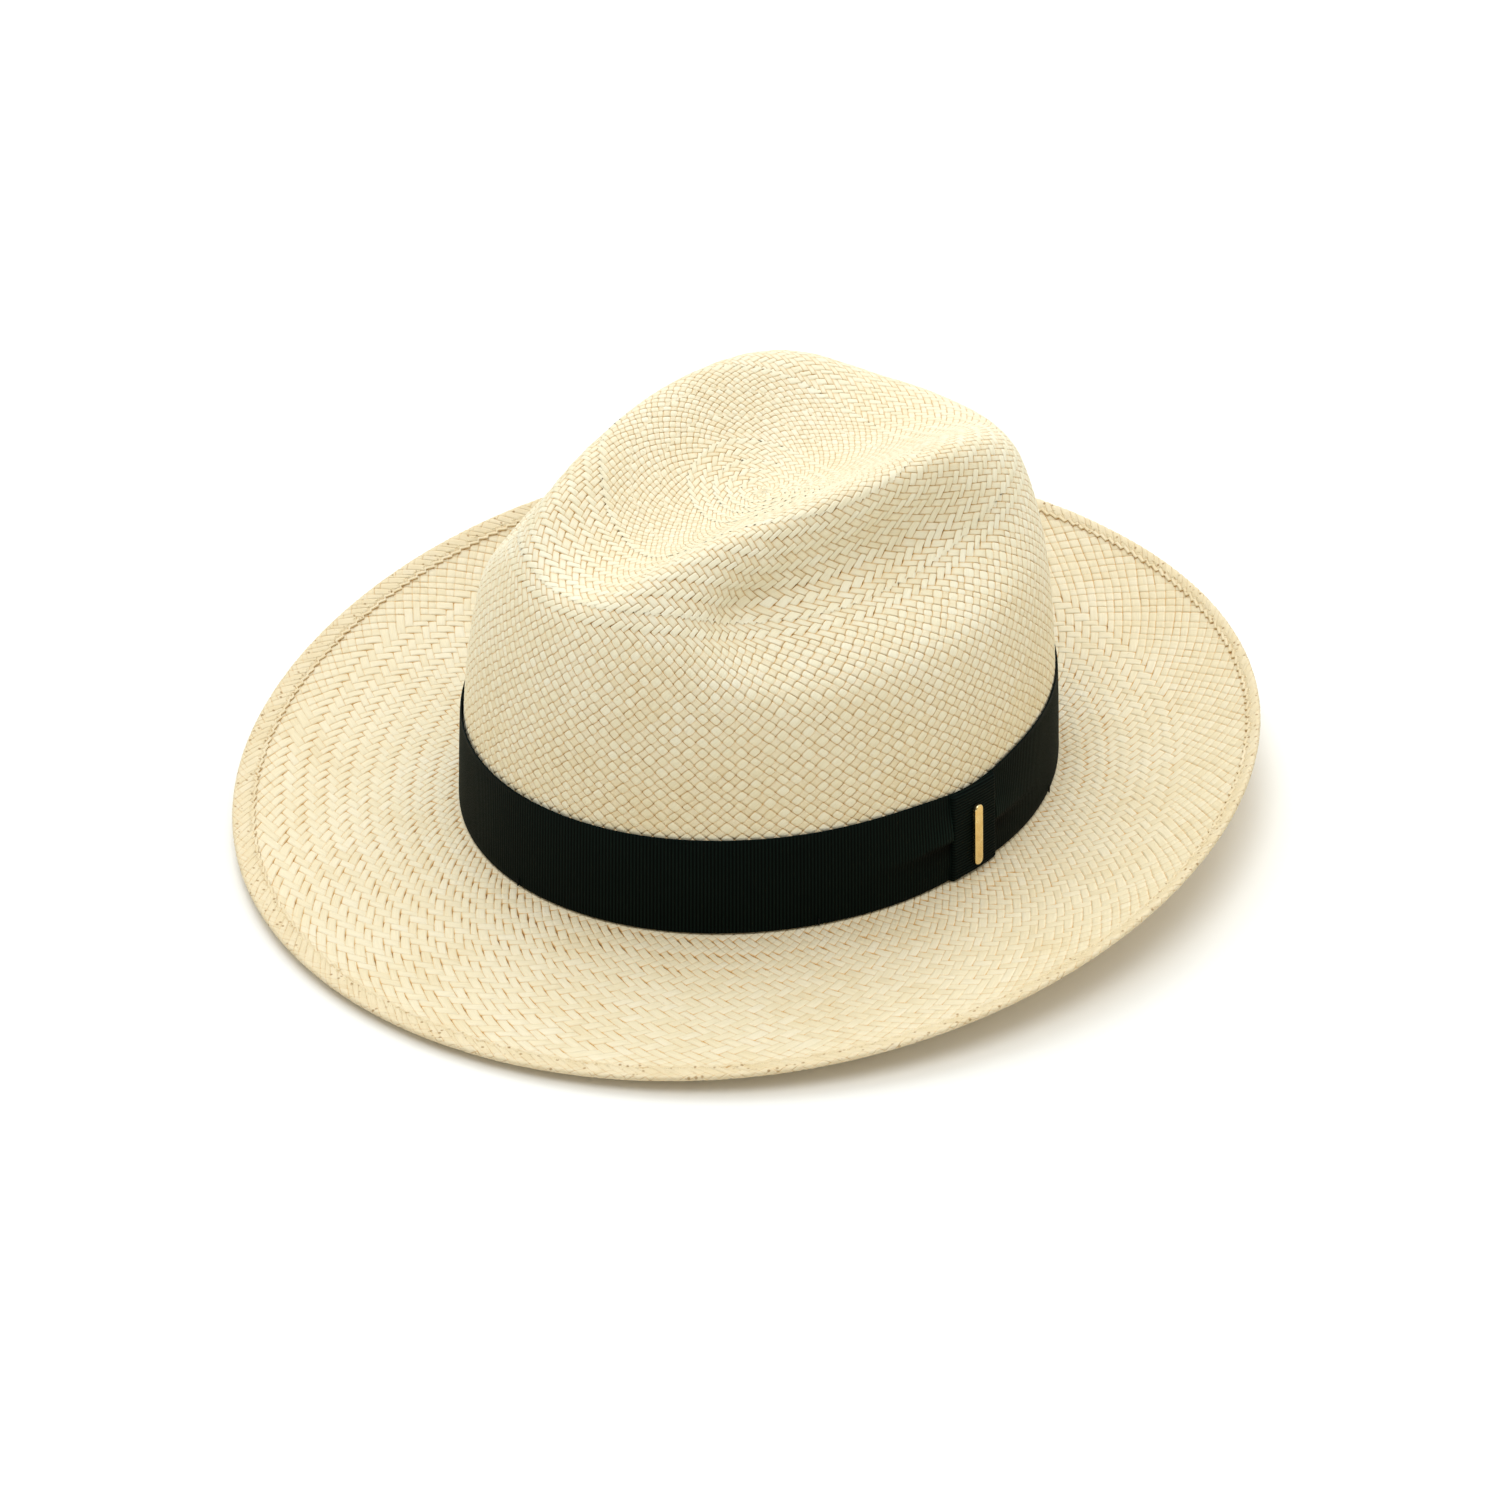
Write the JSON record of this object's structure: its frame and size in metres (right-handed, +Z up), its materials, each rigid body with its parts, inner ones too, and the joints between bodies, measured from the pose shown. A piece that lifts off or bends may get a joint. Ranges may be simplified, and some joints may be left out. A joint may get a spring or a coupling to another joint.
{
  "type": "panama hat",
  "caption": "Woven straw fedora-style hat with a creased and pinched crown, a folded brim hem, a ribbon band with a cross wrap and a sweatband.",
  "frame": {"origin": "bottom centre of the whole hat as it stands on its brim on a table", "axes": "+Z up towards the crown, -Y towards the front of the hat, +X towards the wearer's left, where the cross wrap is"},
  "size_m": [0.3095, 0.3348, 0.1202],
  "materials": {
    "straw": "woven toquilla straw, matt",
    "straw_thread": "fine cotton thread",
    "grosgrain": "ribbed ribbon, soft sheen",
    "gilt_metal": "polished gilt",
    "black_thread": "fine thread",
    "sweatband_leather": "smooth, matt",
    "piping_cloth": "fine woven tape",
    "reed_plastic": "satin"
  },
  "bodies": {
    "root": {"straw_body": "straw", "hem_stitching": "straw_thread", "hat_band": "grosgrain", "band_cross_wrap": "grosgrain", "metal_bar": "gilt_metal", "band_tack_stitches": "black_thread", "sweatband": "sweatband_leather", "sweatband_piping": "piping_cloth", "sweatband_reed": "reed_plastic", "sweatband_stitching": "straw_thread"}
  },
  "joints": []
}
